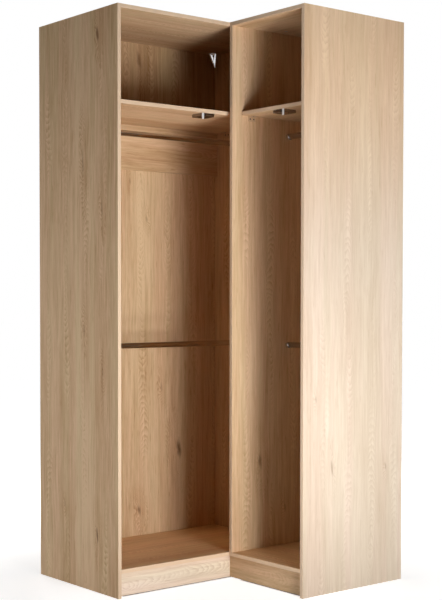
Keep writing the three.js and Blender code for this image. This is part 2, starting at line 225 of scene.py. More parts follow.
# How much browner each part of the figure makes the print, and how brown it is without them
BROAD_BROWN, MIDDLE_BROWN, FINE_BROWN = 1.3, 1.25, 0.9
PLANK_BROWN, RING_BROWN, SWIRL_BROWN = 0.24, 0.7, 0.22
FLECK_BROWN, PORE_BROWN = 0.34, 0.14
MEAN_BROWN = 0.34

BAND_COVER = 0.75                   # how far the band's own colour hides the figure
SATIN, SATIN_FINE, SATIN_PORE = 0.42, 0.12, 0.15    # the foil's roughness
RELIEF_FINE, RELIEF_PORE = 0.5, -1.0                # how far each stands proud

AXES = {"x": (1, 0, 0), "y": (0, 1, 0), "z": (0, 0, 1)}


def make_board_place():
    """A point of a board as (across the grain, out of the face, along the grain), in metres."""
    tree, start, end = new_group(
        "Board place",
        [("Across", VECTOR, AXES["x"]), ("Out", VECTOR, AXES["y"]), ("Along", VECTOR, AXES["z"]),
         ("Shift", VECTOR, (0, 0, 0))],
        [("Place", VECTOR)],
    )
    point = object_point(tree)
    axes = [vector_measure(tree, "DOT_PRODUCT", point, start[name]) for name in ("Across", "Out", "Along")]
    turned_point = put(tree, "ShaderNodeCombineXYZ", dict(zip("XYZ", axes))).outputs[0]
    tree.links.new(vector_figure(tree, "ADD", turned_point, start["Shift"]), end["Place"])
    return tree


def make_knot():
    """One knot: its dark heart, and how far it pushes the grain aside."""
    tree, start, end = new_group(
        "Oak knot",
        [("Place", VECTOR, None), ("Middle", VECTOR, (0, 0, 0)), ("Width", FLOAT, 0.012),
         ("Length", FLOAT, 0.03), ("Darkness", FLOAT, 1.0), ("Heart So Far", FLOAT, 0.0),
         ("Push So Far", FLOAT, 0.0)],
        [("Heart", FLOAT), ("Push", FLOAT)],
    )
    off = parts_of(tree, vector_figure(tree, "SUBTRACT", start["Place"], start["Middle"]))
    ragged = noise(tree, stretch(tree, start["Place"], KNOT_RAGGED_PITCH))
    side = figure(tree, "DIVIDE", off["X"], start["Width"])
    along = figure(tree, "DIVIDE", off["Z"], start["Length"])
    slant = figure(tree, "ADD", side, figure(tree, "MULTIPLY", along, KNOT_SLANT))
    squares = [figure(tree, "MULTIPLY", way, way) for way in (slant, along)]
    reach = figure(tree, "SQRT", figure(tree, "ADD", *squares))
    reach = figure(tree, "MULTIPLY_ADD", centred(tree, ragged), KNOT_RAGGED, reach)
    heart = remap(tree, reach, KNOT_EDGE, KNOT_CORE, smooth=True)
    heart = figure(tree, "MULTIPLY", heart, start["Darkness"])
    fade = figure(tree, "MULTIPLY", figure(tree, "MULTIPLY", reach, reach), -KNOT_HALO)
    push = figure(tree, "MULTIPLY", figure(tree, "EXPONENT", fade),
                  figure(tree, "MULTIPLY", start["Width"], KNOT_PUSH))
    tree.links.new(figure(tree, "MAXIMUM", heart, start["Heart So Far"]), end["Heart"])
    tree.links.new(figure(tree, "ADD", push, start["Push So Far"]), end["Push"])
    return tree


def planks(tree, place):
    """Planks that wander a little: each one's number, its own tone, and the way from its middle."""
    wander = noise(tree, stretch(tree, place, PLANK_WANDER_PITCH), detail=1.0)
    across = figure(tree, "MULTIPLY_ADD", centred(tree, wander), PLANK_WANDER, parts_of(tree, place)["X"])
    count = figure(tree, "DIVIDE", across, PLANK_WIDTH)
    plank = figure(tree, "FLOOR", count)
    tone = put(tree, "ShaderNodeTexWhiteNoise", {"W": plank}, noise_dimensions="1D").outputs["Value"]
    side = figure(tree, "MULTIPLY", centred(tree, figure(tree, "FRACT", count)), PLANK_WIDTH)
    return plank, tone, side


def flame_rings(tree, place, push):
    """Each plank's tone, the rings of its flames, and where a knot turns the grain into swirls."""
    plank, tone, side = planks(tree, place)
    along = parts_of(tree, place)["Z"]
    sway_place = put(tree, "ShaderNodeCombineXYZ", {
        "X": figure(tree, "MULTIPLY", plank, SWAY_APART),
        "Z": figure(tree, "MULTIPLY", along, SWAY_PITCH)}).outputs[0]
    side = figure(tree, "MULTIPLY_ADD", centred(tree, noise(tree, sway_place)), -SWAY, side)
    climb = figure(tree, "PINGPONG", figure(tree, "MULTIPLY_ADD", tone, HEART_APART, along), HEART_RUN)
    depth = figure(tree, "MULTIPLY_ADD", climb, HEART_SLOPE, HEART_NEAREST)
    ring = figure(tree, "MULTIPLY_ADD", side, side, figure(tree, "MULTIPLY", depth, depth))
    ring = figure(tree, "SQRT", ring)
    ripple = noise(tree, stretch(tree, place, RIPPLE_PITCH), roughness=RIPPLE_ROUGHNESS)
    jag = noise(tree, stretch(tree, place, JAG_PITCH))
    ring = figure(tree, "MULTIPLY_ADD", centred(tree, ripple), RIPPLE, ring)
    ring = figure(tree, "MULTIPLY_ADD", centred(tree, jag), JAG, ring)
    ring = figure(tree, "ADD", ring, push)
    turn = figure(tree, "FRACT", figure(tree, "DIVIDE", ring, RING_PITCH))
    rise = figure(tree, "POWER", turn, RING_RISE)
    rings = figure(tree, "MULTIPLY", rise, remap(tree, turn, RING_CREST, 1.0, 1.0, 0.0))
    aside = figure(tree, "ABSOLUTE", side)
    column = remap(tree, aside, COLUMN_FULL, COLUMN_EDGE, 1.0, COLUMN_REST, smooth=True)
    patches = remap(tree, noise(tree, stretch(tree, place, PATCH_PITCH)), *PATCH_RANGE, smooth=True)
    swirl = remap(tree, push, *SWIRL_RANGE, smooth=True)
    flames = figure(tree, "MAXIMUM", figure(tree, "MULTIPLY", column, patches), swirl)
    return tone, figure(tree, "MULTIPLY", centred(tree, rings), flames), swirl


def make_oak():
    """Oak woodgrain foil: planks side by side, each with a column of flames, streaks, pores and knots."""
    tree, start, end = new_group(
        "Oak foil",
        [("Place", VECTOR, None), ("Contrast", FLOAT, 1.0), ("Knot Heart", FLOAT, 0.0),
         ("Knot Push", FLOAT, 0.0), ("Pale", COLOR, PALE_OAK), ("Brown", COLOR, BROWN_OAK),
         ("Band", FLOAT, 0.0), ("Band Color", COLOR, BAND_OAK)],
        [("Color", COLOR), ("Roughness", FLOAT), ("Height", FLOAT)],
    )
    place = start["Place"]
    tone, rings, swirl = flame_rings(tree, place, start["Knot Push"])
    # straight streaks at three widths that bend a little, fine dark flecks, and pores
    bend = stretch(tree, noise(tree, stretch(tree, place, WAVE_PITCH), gives="Color"), WAVE)
    wavy = vector_figure(tree, "ADD", place, bend)
    broad = noise(tree, stretch(tree, wavy, BROAD_PITCH), detail=3.0, roughness=BROAD_ROUGHNESS)
    middle = noise(tree, stretch(tree, wavy, MIDDLE_PITCH), detail=3.0, roughness=MIDDLE_ROUGHNESS)
    fine = noise(tree, stretch(tree, wavy, FINE_PITCH), detail=3.0, roughness=FINE_ROUGHNESS)
    flecks = noise(tree, stretch(tree, place, FLECK_PITCH), detail=1.0)
    flecks = remap(tree, flecks, *FLECK_RANGE, smooth=True)
    pores = noise(tree, stretch(tree, place, PORE_PITCH), detail=1.0)
    pores = remap(tree, pores, *PORE_RANGE, smooth=True)
    # how brown the foil is printed at a point
    brown = figure(tree, "MULTIPLY", centred(tree, broad), BROAD_BROWN)
    for part, share in ((centred(tree, middle), MIDDLE_BROWN), (centred(tree, fine), FINE_BROWN),
                        (centred(tree, tone), PLANK_BROWN), (rings, RING_BROWN), (swirl, SWIRL_BROWN),
                        (flecks, FLECK_BROWN), (pores, PORE_BROWN)):
        brown = figure(tree, "MULTIPLY_ADD", part, share, brown)
    brown = figure(tree, "MULTIPLY_ADD", brown, start["Contrast"], MEAN_BROWN, clamp=True)
    color = blend(tree, brown, start["Pale"], start["Brown"])
    # streaks that lean to rose lie beside streaks that lean to straw
    hue = remap(tree, noise(tree, stretch(tree, wavy, HUE_PITCH)), *HUE_RANGE, smooth=True)
    tint = blend(tree, hue, STRAW_TINT, ROSE_TINT)
    color = blend(tree, start["Contrast"], color, tint, mode="MULTIPLY")
    color = blend(tree, figure(tree, "MULTIPLY", start["Band"], BAND_COVER), color, start["Band Color"])
    color = blend(tree, start["Knot Heart"], color, KNOT_BROWN)
    tree.links.new(color, end["Color"])
    gloss = figure(tree, "MULTIPLY_ADD", fine, SATIN_FINE, SATIN)
    tree.links.new(figure(tree, "MULTIPLY_ADD", pores, SATIN_PORE, gloss), end["Roughness"])
    relief = figure(tree, "MULTIPLY_ADD", pores, RELIEF_PORE, figure(tree, "MULTIPLY", fine, RELIEF_FINE))
    tree.links.new(relief, end["Height"])
    return tree


BAND_THICKNESS = 0.0011
GLUE_HALF = 0.00018     # half the width of the glue line


def make_band():
    """The edge band glued to a board's front, and the fine glue line behind it."""
    tree, start, end = new_group(
        "Edge band",
        [("Depth", FLOAT, 0.0), ("Thickness", FLOAT, BAND_THICKNESS)],
        [("Band", FLOAT), ("Glue Line", FLOAT)],
    )
    behind = figure(tree, "SUBTRACT", start["Depth"], start["Thickness"])
    line = figure(tree, "LESS_THAN", figure(tree, "ABSOLUTE", behind), GLUE_HALF)
    tree.links.new(figure(tree, "LESS_THAN", start["Depth"], start["Thickness"]), end["Band"])
    tree.links.new(line, end["Glue Line"])
    return tree


BOARD_PLACE = make_board_place()
KNOT = make_knot()
OAK = make_oak()
BAND = make_band()

PRINT_STEP = (0.377, 0.71, 1.93)    # how far the print moves from one board to the next
SHADE_TOWARDS_TOP_FROM, SHADE_TOWARDS_TOP_TO = 1.3, 2.25      # the heights over which the painted shade towards a board's top comes in
FOIL_SPECULAR = 0.14
RELIEF_STRENGTH, RELIEF_DEPTH = 0.12, 0.0002


def knots_in(tree, place, shift, knots):
    """The dark hearts of a board's knots, and how far they push the grain, one knot after another."""
    heart, push = 0.0, 0.0
    for across, along, width, length, darkness in knots:
        middle = Vector((across * MM, 0, along * MM)) + Vector((shift.x, 0, shift.z))
        knot = use_group(tree, KNOT, {
            "Place": place, "Middle": middle, "Width": width * MM, "Length": length * MM,
            "Darkness": darkness, "Heart So Far": heart, "Push So Far": push})
        heart, push = knot["Heart"], knot["Push"]
    return heart, push


def band_on(tree, front):
    """The banded edge at a board's front, and its glue line. front is (axis, plane, way in)."""
    axis, plane, way = front
    depth = figure(tree, "SUBTRACT", parts_of(tree, object_point(tree))[axis.upper()], plane)
    edge = use_group(tree, BAND, {"Depth": figure(tree, "MULTIPLY", depth, way), "Thickness": BAND_THICKNESS})
    return edge["Band"], edge["Glue Line"]


def shaded_towards_top(tree, tones, shaded_top_tones):
    """Tones that turn browner over the upper part of an upright board: painted shade towards its top."""
    height = parts_of(tree, object_point(tree))["Z"]
    share = remap(tree, height, SHADE_TOWARDS_TOP_FROM, SHADE_TOWARDS_TOP_TO, smooth=True)
    return [blend(tree, share, tone, shaded_top_tone) for tone, shaded_top_tone in zip(tones, shaded_top_tones)]


def oak_material(name, across, along, seed, front, knots, tones, shaded_top_tones):
    """The foil on one board. knots are (across, along, width, length, darkness), in mm."""
    material, tree, shader = new_material(name)
    pale, brown, contrast = tones
    out = ({"x", "y", "z"} - {across, along}).pop()
    shift = Vector([seed * step for step in PRINT_STEP])
    place = use_group(tree, BOARD_PLACE, {
        "Across": AXES[across], "Out": AXES[out], "Along": AXES[along], "Shift": shift})["Place"]
    heart, push = knots_in(tree, place, shift, knots)
    band, glue = band_on(tree, front) if front else (0.0, 0.0)
    if shaded_top_tones:
        pale, brown = shaded_towards_top(tree, (pale, brown), shaded_top_tones)
    foil = use_group(tree, OAK, {
        "Place": place, "Knot Heart": heart, "Knot Push": push, "Pale": pale, "Brown": brown,
        "Band": band, "Contrast": contrast, "Band Color": BAND_OAK})
    color = blend(tree, glue, foil["Color"], GLUE_BROWN) if front else foil["Color"]
    tree.links.new(color, shader["Base Color"])
    tree.links.new(foil["Roughness"], shader["Roughness"])
    bump = put(tree, "ShaderNodeBump", {
        "Height": foil["Height"], "Strength": RELIEF_STRENGTH, "Distance": RELIEF_DEPTH})
    tree.links.new(bump.outputs[0], shader["Normal"])
    shader["Specular IOR Level"].default_value = FOIL_SPECULAR
    return material


def dress(node, material):
    """Gives a CAD node its finish."""
    mesh = NODES[node].data
    mesh.materials.clear()
    mesh.materials.append(material)


# Boards


def left_front(node):
    return ("x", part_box(node)[1].x, -1)


def right_front(node):
    return ("y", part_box(node)[0].y, 1)


def from_corner(mm):
    """A millimetre place from the inner corner along x, as the frame's own x in mm."""
    return CORNER_X / MM + mm


BOARDS = [
    # node, across the grain, along it, banded front, knots
    ("left_side_panel", "x", "z", left_front, [
        (from_corner(-141), 2264, 9, 34, 0.75), (from_corner(-147), 232, 9, 36, 0.8),
        (from_corner(-388), 335, 4, 16, 0.35), (from_corner(-247), 1757, 7, 60, 0.45),
        (from_corner(-111), 1561, 6, 36, 0.35), (from_corner(-242), 1068, 6, 30, 0.3),
        (from_corner(-106), 902, 5, 26, 0.35)]),
    ("corner_end_panel", "x", "z", left_front, []),
    ("left_top_panel", "x", "y", left_front, []),
    ("left_floor_panel", "x", "y", left_front, []),
    ("left_shelf", "x", "y", left_front, []),
    ("left_back_stretcher", "z", "y", None, []),
    ("left_plinth", "z", "y", None, []),
    ("left_rear_plinth", "z", "y", None, []),
    ("left_back_panel_near", "y", "z", None, []),
    ("left_back_panel_far", "y", "z", None, [
        (-81, 234, 11, 30, 0.75), (150, 494, 15, 46, 0.85), (47, 792, 7, 24, 0.35),
        (-37, 1559, 7, 20, 0.3), (-130, 1725, 6, 18, 0.35), (374, 1742, 7, 30, 0.5)]),
    ("left_back_panel_upper", "y", "z", None, [(-78, 2272, 14, 40, 0.75)]),
    ("left_back_strip", "y", "z", None, []),
    ("corner_partition", "y", "z", right_front, [(160, 494, 11, 40, 0.7), (309, 278, 7, 24, 0.35)]),
    ("right_side_panel", "y", "z", right_front, [
        (162, 507, 8, 36, 0.4), (480, 490, 6, 20, 0.3), (71, 792, 5, 18, 0.3)]),
    ("right_top_panel", "y", "x", right_front, []),
    ("right_floor_panel", "y", "x", right_front, []),
    ("right_shelf", "y", "x", right_front, []),
    ("right_back_stretcher", "z", "x", None, []),
    ("right_plinth", "z", "x", None, []),
    ("right_rear_plinth", "z", "x", None, []),
    ("right_back_panel", "x", "z", None, []),
]

PLAIN_TONES = (PALE_OAK, BROWN_OAK, 1.0)
# Boards whose print is made paler or darker than plain oak to paint the light and shade that falls on them
LIT_AND_SHADED_TONES = {
    # board: pale, brown, contrast
    # paler and of lower contrast: painted light on the outer right side
    "right_side_panel": (PALE_LIT_SIDE, BROWN_LIT_SIDE, 0.62),
    # paler: painted light bounced from the floor
    "left_plinth": (PALE_LIT_PLINTH, BROWN_LIT_PLINTH, 1.1),
    # paler than plain oak: painted light on the partition
    "corner_partition": (PALE_LIT_PARTITION, BROWN_LIT_PARTITION, 1.0),
    # darker: painted shade in the compartment above the shelf
    "left_back_panel_upper": (PALE_SHADED_UPPER, BROWN_SHADED_UPPER, 1.0),
    # both floor panels paler: painted light from above
    "left_floor_panel": (PALE_LIT_FLOOR, BROWN_LIT_FLOOR, 0.9),
    "right_floor_panel": (PALE_LIT_FLOOR, BROWN_LIT_FLOOR, 0.9),
}
# the outer right side's print turns browner towards its top: painted shade
SHADED_TOP_TONES = {"right_side_panel": (PALE_SHADED_SIDE_TOP, BROWN_SHADED_SIDE_TOP)}
PRINT_SHIFTS = {"left_plinth": 0.11}    # brings a column of flames to the middle of the board


def dress_boards():
    for number, (board, across, along, front, knots) in enumerate(BOARDS, start=1):
        seed = number + PRINT_SHIFTS.get(board, 0)
        banded = front(board) if front else None
        dress(board, oak_material("Oak " + board.replace("_", " "), across, along, seed, banded, knots,
                                  LIT_AND_SHADED_TONES.get(board, PLAIN_TONES), SHADED_TOP_TONES.get(board)))


dress_boards()


# Metal and paint finishes

MARK_FAINT, MARK_DULL, MARK_FULL = 0.1, 0.45, 0.5     # how strong the marks are where the finish changes
METAL_DARKENING, PAINT_DARKENING = 0.86, 0.8
PAINT_CLEAN, PAINT_HANDLED, PAINT_SCALE = 0.42, 0.56, 80.0
CLOUD_ROUGHNESS, WIPE_STRETCH = 0.6, (1.0, 1.0, 9.0)


def make_handling():
    """Faint smears left by hands: a mask that changes slowly, with fine wipes in it."""
    tree, start, end = new_group("Handling marks", [("Scale", FLOAT, 40.0)], [("Marks", FLOAT)])
    point = object_point(tree)
    clouds = noise(tree, point, scale=start["Scale"], detail=3.0, roughness=CLOUD_ROUGHNESS)
    wipes = noise(tree, stretch(tree, point, WIPE_STRETCH), scale=start["Scale"])
    tree.links.new(figure(tree, "MULTIPLY", clouds, wipes), end["Marks"])
    return tree


HANDLING = make_handling()


def metal_material(name, color, clean, handled, scale, metallic=1.0):
    """Plated metal: clean and handled are its roughness where clean and where handled."""
    material, tree, shader = new_material(name)
    marks = use_group(tree, HANDLING, {"Scale": scale})["Marks"]
    tree.links.new(remap(tree, marks, MARK_FAINT, MARK_DULL, clean, handled), shader["Roughness"])
    tone = blend(tree, remap(tree, marks, MARK_FAINT, MARK_FULL), color, darker(color, METAL_DARKENING))
    tree.links.new(tone, shader["Base Color"])
    shader["Metallic"].default_value = metallic
    return material


def paint_material(name, color):
    material, tree, shader = new_material(name)
    marks = use_group(tree, HANDLING, {"Scale": PAINT_SCALE})["Marks"]
    tree.links.new(blend(tree, marks, color, darker(color, PAINT_DARKENING)), shader["Base Color"])
    dull = remap(tree, marks, MARK_FAINT, MARK_FULL, PAINT_CLEAN, PAINT_HANDLED)
    tree.links.new(dull, shader["Roughness"])
    return material


# the rails' chrome is darker than the fittings' chrome: painted shade, for the dark inside of the wardrobe
# that the rails mirror
SHADED_RAIL_CHROME = metal_material("Rail chrome painted shade", (0.56, 0.53, 0.51, 1), 0.05, 0.12, 12.0)
FITTING_CHROME = metal_material("Fitting chrome", (0.80, 0.80, 0.82, 1), 0.10, 0.24, 60.0)
CAM_ZINC = metal_material("Cast zinc", (0.55, 0.55, 0.56, 1), 0.35, 0.55, 160.0)
BEIGE_PAINT = paint_material("Beige paint", linear(206, 172, 136))
SCREW_STEEL = metal_material("Screw steel", (0.05, 0.047, 0.045, 1), 0.28, 0.45, 90.0)
DARK_CHROME = metal_material("Dark chrome", (0.34, 0.31, 0.29, 1), 0.14, 0.26, 60.0)
SATIN_STEEL = metal_material("Satin steel", (0.90, 0.90, 0.91, 1), 0.55, 0.65, 90.0, metallic=0.35)
# black for the faces inside the catch window's recess: painted shade
WINDOW_PAINTED_SHADE = paint_material("Window recess painted shade", (0.012, 0.012, 0.013, 1))


# Forms in sheet and bar. They are drawn in millimetres and end in metres.

OVERRUN = 1.0                   # how far a cut runs past the face that it opens
LONG_OVERRUN = 5.0
WELD = 0.001                    # points closer than this are one
FLAT = math.radians(1)          # faces that turn less than this are joined
FOLD = math.radians(35)         # edges that turn more than this stay sharp or are broken
EDGE_STEPS = 2


def arc(x, y, radius, steps, start, sweep):
    """Points on an arc round (x, y), from the start angle on, in degrees."""
    turns = [math.radians(start + sweep * step / steps) for step in range(steps + 1)]
    return [(x + radius * math.cos(turn), y + radius * math.sin(turn)) for turn in turns]


def disc(x, y, radius, steps=24):
    return arc(x, y, radius, steps, 0, 360)[:-1]


def soft_rectangle(low_x, low_y, high_x, high_y, radius, steps=6):
    corners = [(high_x - radius, high_y - radius), (low_x + radius, high_y - radius),
               (low_x + radius, low_y + radius), (high_x - radius, low_y + radius)]
    return [point for turn, (x, y) in enumerate(corners) for point in arc(x, y, radius, steps, 90 * turn, 90)]


def cross_outline(arm, bar):
    """A plus sign."""
    quarter = [(bar, -bar), (arm, -bar), (arm, bar)]
    points = []
    for turn in range(4):
        points += quarter
        quarter = [(-y, x) for x, y in quarter]
    return points


def prism(outline, low, high):
    """A plate: an outline in x and y, between two heights."""
    bm = bmesh.new()
    face = bm.faces.new([bm.verts.new((x, y, low)) for x, y in outline])
    grown = bmesh.ops.extrude_face_region(bm, geom=[face], use_keep_orig=True)["geom"]
    moved = [part for part in grown if isinstance(part, bmesh.types.BMVert)]
    bmesh.ops.translate(bm, verts=moved, vec=(0, 0, high - low))
    bmesh.ops.recalc_face_normals(bm, faces=bm.faces[:])
    return bm


def lathe(profile, steps=48, ring=False):
    """A form turned round z from (radius, height) points.

    A ring's last point joins its first. Without ring, the profile starts and ends on the axis.
    """
    bm = bmesh.new()
    columns, poles = [], {}
    for step in range(steps):
        turn = math.tau * step / steps
        column = []
        for index, (radius, height) in enumerate(profile):
            if radius:
                column.append(bm.verts.new((radius * math.cos(turn), radius * math.sin(turn), height)))
                continue
            if index not in poles:
                poles[index] = bm.verts.new((0, 0, height))
            column.append(poles[index])
        columns.append(column)
    first = 0 if ring else 1
    for index, column in enumerate(columns):
        last = columns[index - 1]
        for point in range(first, len(profile)):
            corners = [last[point - 1], column[point - 1], column[point], last[point]]
            bm.faces.new(list(dict.fromkeys(corners)))
    bmesh.ops.recalc_face_normals(bm, faces=bm.faces[:])
    return bm


def turned(bm, *turns):
    """Turns a form by (degrees, axis), one turn after another."""
    for degrees, axis in turns:
        bmesh.ops.transform(bm, matrix=Matrix.Rotation(math.radians(degrees), 4, axis), verts=bm.verts[:])
    return bm


def loose_object(bm):
    mesh = bpy.data.meshes.new("form")
    bm.to_mesh(mesh)
    bm.free()
    made = bpy.data.objects.new("form", mesh)
    bpy.context.scene.collection.objects.link(made)
    return made


def shaped(body, added=(), cut=()):
    """Joins forms to a body and cuts others out of it. Gives one closed form."""
    whole = loose_object(body)
    tools = [(loose_object(form), "UNION") for form in added]
    tools += [(loose_object(form), "DIFFERENCE") for form in cut]
    for tool, operation in tools:
        step = whole.modifiers.new(operation, "BOOLEAN")
        step.operation = operation
        step.solver = "EXACT"
        step.object = tool
    bpy.context.view_layer.update()
    result = whole.evaluated_get(bpy.context.evaluated_depsgraph_get())
    bm = bmesh.new()
    bm.from_mesh(result.data)
    for used in [whole] + [tool for tool, operation in tools]:
        bpy.data.objects.remove(used)
    bmesh.ops.remove_doubles(bm, verts=bm.verts[:], dist=WELD)
    bmesh.ops.dissolve_limit(bm, angle_limit=FLAT, verts=bm.verts[:], edges=bm.edges[:])
    return bm


def finished(bm, name, material, edge=0.0):
    """Ends a form: breaks its sharp edges, shades it, turns it into metres and gives it its finish."""
    if edge:
        sharp = [line for line in bm.edges if line.is_manifold and line.calc_face_angle(0) > FOLD]
        bmesh.ops.bevel(bm, geom=sharp, offset=edge, segments=EDGE_STEPS, profile=0.5, affect="EDGES",
                        clamp_overlap=True)
    bmesh.ops.triangulate(bm, faces=[face for face in bm.faces if len(face.verts) > 4])
    bmesh.ops.transform(bm, matrix=Matrix.Scale(MM, 4), verts=bm.verts[:])
    mesh = bpy.data.meshes.new(name)
    bm.to_mesh(mesh)
    bm.free()
    mesh.shade_smooth()
    mesh.set_sharp_from_angle(angle=FOLD)
    mesh.materials.append(material)
    return mesh


# Places in a unit


def unit_frame(name):
    """Where a unit's own frame stands: x across its width, y from its front to the wall, z up, in metres."""
    if name == "left":
        low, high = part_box("left_side_panel")
        return Matrix.Translation((high.x, low.y, 0)) @ Matrix.Rotation(math.radians(90), 4, "Z")
    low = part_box("corner_partition")[0]
    return Matrix.Translation((low.x, low.y, 0))


UNIT_FRAMES = {name: unit_frame(name) for name in ("left", "right")}


def box_in_unit(unit, node):
    """A node's lowest and highest corners in its unit's frame."""
    inward = UNIT_FRAMES[unit].inverted()
    corners = [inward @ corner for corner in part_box(node)]
    return Vector(map(min, *corners)), Vector(map(max, *corners))


def on_side(unit, side, low, high, z):
    """The frame of a form that is drawn out along x from the near or the far side panel."""
    middle = (low.y + high.y) / 2
    if side == "near":
        return UNIT_FRAMES[unit] @ Matrix.Translation((low.x, middle, z))
    half_turn = Matrix.Rotation(math.radians(180), 4, "Z")
    return UNIT_FRAMES[unit] @ Matrix.Translation((high.x, middle, z)) @ half_turn


def point_on(place, x, y, z, degrees, axis):
    """A frame at a point of a form that stands at place, in millimetres, turned as asked."""
    turn = Matrix.Rotation(math.radians(degrees), 4, axis)
    return place @ Matrix.Translation((x * MM, y * MM, z * MM)) @ turn


def add_piece(name, mesh, place, node=None, body="carcass"):
    piece = bpy.data.objects.new(name, mesh)
    bpy.context.scene.collection.objects.link(piece)
    piece.matrix_world = place
    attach(piece, body)
    if node:
        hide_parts(node)


# Screws

SCREW_HOLE = 4.0
SHANK = 1.8                     # how much of the shank is drawn, in the hole
SHANK_PLAY = 0.1
HEAD_RADIUS, HEAD_HEIGHT = 3.4, 1.1
HEAD_DOME = [(0, 0.45), (0.35, 0.85), (1.1, 1.06)]     # (in from the rim, height)
RECESS_ARM, RECESS_BAR, RECESS_FLOOR = 1.9, 0.42, 0.35


def screw_mesh():
    """A pan head with a cross recess. It stands on z = 0."""
    shank = SCREW_HOLE / 2 - SHANK_PLAY
    dome = [(HEAD_RADIUS - inward, height) for inward, height in HEAD_DOME]
    profile = [(0, -SHANK), (shank, -SHANK), (shank, 0), (HEAD_RADIUS, 0), *dome, (0, HEAD_HEIGHT)]
    recess = prism(cross_outline(RECESS_ARM, RECESS_BAR), RECESS_FLOOR, HEAD_HEIGHT + OVERRUN)
    return finished(shaped(lathe(profile, steps=28), cut=[recess]), "screw", SCREW_STEEL)


SCREW = screw_mesh()


def add_screw(name, place, x, y, z, degrees, axis):
    add_piece(name, SCREW, point_on(place, x, y, z, degrees, axis))


# Hanging rails and their sockets

RAIL_WALL, RAIL_EDGE = 1.5, 0.35
SOCKET_BASE, SOCKET_WALL, SOCKET_ARM = 2.5, 3.0, 8.0
SOCKET_EDGE = 0.45
SEAT_PLAY = 0.3
SOCKET_SCREWS = (-9.0, 3.0)     # heights from the rail's middle
SCREW_SEAT, SCREW_SEAT_PLAY = 1.0, 0.25     # how deep the heads are let into the socket, and how loosely
SCREW_SEAT_OVERRUN = 0.5


def rail_mesh(name, radius, length):
    inner = radius - RAIL_WALL
    profile = [(inner, RAIL_EDGE), (inner + RAIL_EDGE, 0), (radius - RAIL_EDGE, 0), (radius, RAIL_EDGE),
               (radius, length - RAIL_EDGE), (radius - RAIL_EDGE, length), (inner + RAIL_EDGE, length),
               (inner, length - RAIL_EDGE)]
    tube = turned(lathe(profile, steps=96, ring=True), (90, "Y"))
    return finished(tube, name, SHADED_RAIL_CHROME)


def cradle(half, top, low, high):
    """A block with a round bottom, drawn round the rail's middle."""
    return prism([(half, top), (-half, top)] + arc(0, 0, half, 28, 180, 180), low, high)


def socket_mesh(radius, reach):
    """A cast cradle, open at the top, drawn out along x from the side panel."""
    seat = radius + SEAT_PLAY
    cuts = [cradle(seat, SOCKET_ARM + LONG_OVERRUN, SOCKET_BASE, reach + LONG_OVERRUN)]
    for height in SOCKET_SCREWS:
        head = disc(0, height, HEAD_RADIUS + SCREW_SEAT_PLAY)
        cuts.append(prism(head, SOCKET_BASE - SCREW_SEAT, SOCKET_BASE + SCREW_SEAT_OVERRUN))
        cuts.append(prism(disc(0, height, SCREW_HOLE / 2), -LONG_OVERRUN, SOCKET_BASE))
    form = shaped(cradle(seat + SOCKET_WALL, SOCKET_ARM, 0, reach), cut=cuts)
    return finished(turned(form, (90, "X"), (90, "Z")), "rail_socket", FITTING_CHROME, edge=SOCKET_EDGE)


def add_rails():
    socket = None
    for unit in UNIT_FRAMES:
        for level in ("upper", "lower"):
            node = f"{unit}_{level}_rail"
            low, high = box_in_unit(unit, node)
            radius, middle = (high.z - low.z) / 2 / MM, (high.z + low.z) / 2
            place = UNIT_FRAMES[unit] @ Matrix.Translation((low.x, (low.y + high.y) / 2, middle))
            tube = rail_mesh(node + "_tube", radius, (high.x - low.x) / MM)
            add_piece(node + "_tube", tube, place, node, node + "_body")
            for side in ("near", "far"):
                name = f"{unit}_{level}_socket_{side}"
                low, high = box_in_unit(unit, name)
                socket = socket or socket_mesh(radius, (high.x - low.x) / MM)
                place = on_side(unit, side, low, high, middle)
                add_piece(name + "_cradle", socket, place, name)
                for number, height in enumerate(SOCKET_SCREWS, start=1):
                    add_screw(f"{name}_screw_{number}", place, SOCKET_BASE - SCREW_SEAT, 0, height, 90, "Y")


# Shelf brackets

BRACKET_SHEET = 2.0
BRACKET_PITCH = 20.0
BRACKET_CORNER = 3.0
BRACKET_EDGE = 0.35


def corner_waste(leg, half):
    """What is left over outside one rounded corner of a leg."""
    middle = (leg - BRACKET_CORNER, half - BRACKET_CORNER)
    return [(leg + OVERRUN, middle[1])] + arc(*middle, BRACKET_CORNER, 8, 0, 90) + [
        (middle[0], half + OVERRUN), (leg + OVERRUN, half + OVERRUN)]


def bracket_mesh(length, leg):
    """An angle of sheet steel, drawn out along x and down from the shelf."""
    half, bend = length / 2, 2 * BRACKET_SHEET
    outline = [(0, 0), (0, -leg), (BRACKET_SHEET, -leg)] + arc(bend, -bend, BRACKET_SHEET, 6, 180, -90) + [
        (leg, -BRACKET_SHEET), (leg, 0)]
    angle = turned(prism(outline, -half, half), (90, "X"))
    middle = (leg + BRACKET_SHEET) / 2
    cuts = [prism(disc(middle, 0, SCREW_HOLE / 2), -BRACKET_SHEET - OVERRUN, OVERRUN)]
    for way in (-1, 1):
        hole = prism(disc(middle, way * BRACKET_PITCH / 2, SCREW_HOLE / 2), -OVERRUN, BRACKET_SHEET + OVERRUN)
        cuts.append(turned(hole, (90, "Y")))
        waste = [(x, way * y) for x, y in corner_waste(leg, half)]
        cuts.append(prism(waste, -BRACKET_SHEET - OVERRUN, OVERRUN))
        cuts.append(turned(prism(waste, -OVERRUN, BRACKET_SHEET + OVERRUN), (90, "Y")))
    return finished(shaped(angle, cut=cuts), "shelf_bracket", BEIGE_PAINT, edge=BRACKET_EDGE)


